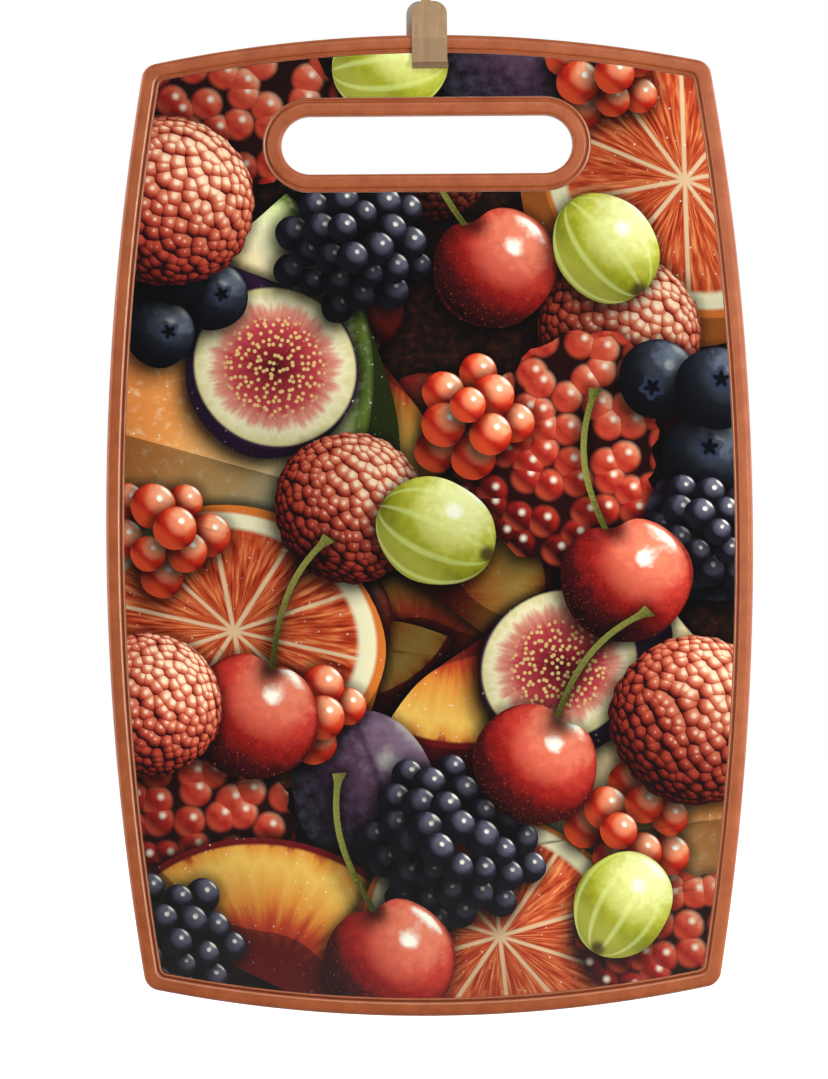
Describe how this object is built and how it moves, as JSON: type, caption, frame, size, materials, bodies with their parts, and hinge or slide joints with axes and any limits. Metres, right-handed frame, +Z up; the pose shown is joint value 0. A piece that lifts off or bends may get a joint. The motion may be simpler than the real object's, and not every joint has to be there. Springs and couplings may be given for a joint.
{
  "type": "plastic cutting board",
  "caption": "Barrel-shaped plastic cutting board with a printed front, soft moulded rim, handle slot with a grip ring, and a spring clip to hang it by.",
  "frame": {"origin": "centre of the eye at the top of the clip, which the board hangs from", "axes": "+X to the right along the board's width, +Z up along its height, +Y out of its back; the printed front looks along -Y"},
  "size_m": [0.211, 0.0122, 0.343],
  "materials": {
    "core": "moulded, fine matt grain",
    "print": "glossy printed film",
    "soft_rim": "satin",
    "clip": "brushed, champagne nickel"
  },
  "bodies": {
    "clip": {"hanging_clip": "clip"},
    "board": {"core_board": "core", "print_film": "print", "outer_rim": "soft_rim", "grip_ring": "soft_rim"}
  },
  "joints": [
    {"name": "clip_pull", "type": "slide", "parent": "clip", "child": "board", "axis": [0, 0, -1], "range_m": [0, 0.03]}
  ]
}
